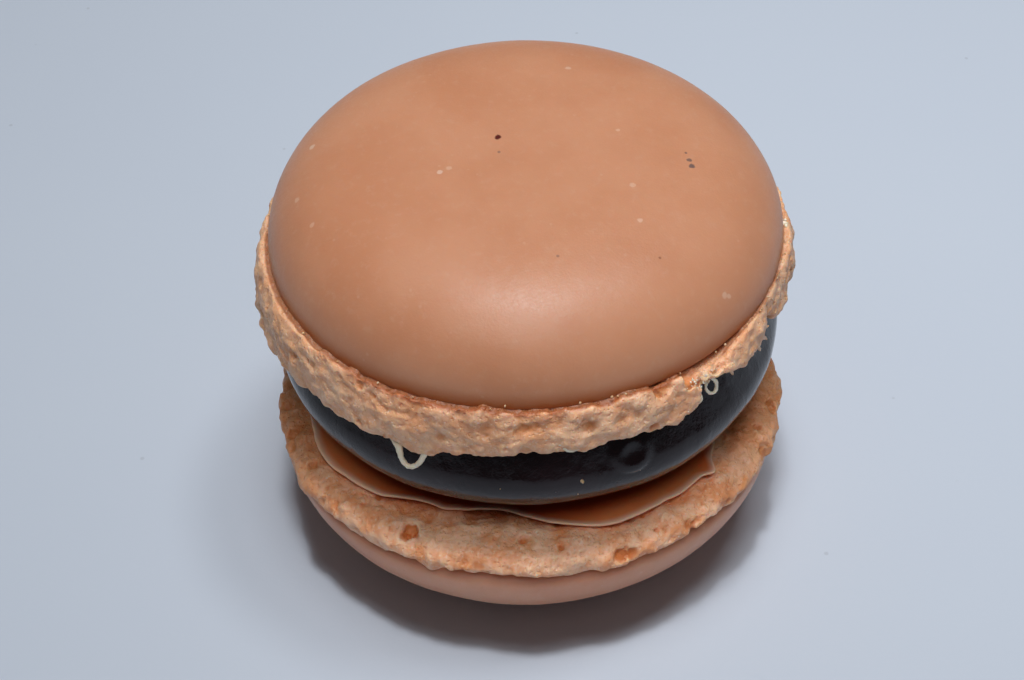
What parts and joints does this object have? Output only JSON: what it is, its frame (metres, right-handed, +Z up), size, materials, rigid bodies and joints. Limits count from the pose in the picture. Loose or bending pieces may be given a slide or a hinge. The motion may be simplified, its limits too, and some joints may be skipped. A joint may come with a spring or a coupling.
{
  "type": "french macaron",
  "caption": "Round sandwich biscuit: domed smooth meringue shells with rough crumbly feet, face to face on a thick dark glossy filling.",
  "frame": {"origin": "under the middle of the macaron, on the surface that the lower shell's dome rests on", "axes": "+Z up through the shells and the filling; -Y is the front, where the sugar loop hangs; +X to the right"},
  "size_m": [0.0458, 0.0468, 0.0367],
  "materials": {
    "lower_shell": "matte baked meringue with a porous, crumbly foot",
    "filling": "near-black, softly glossy jelly-like filling",
    "upper_shell": "satin smooth apricot dome with a porous, crumbly foot"
  },
  "bodies": {
    "root": {"lower_shell": "lower_shell", "filling": "filling", "upper_shell": "upper_shell"}
  },
  "joints": []
}
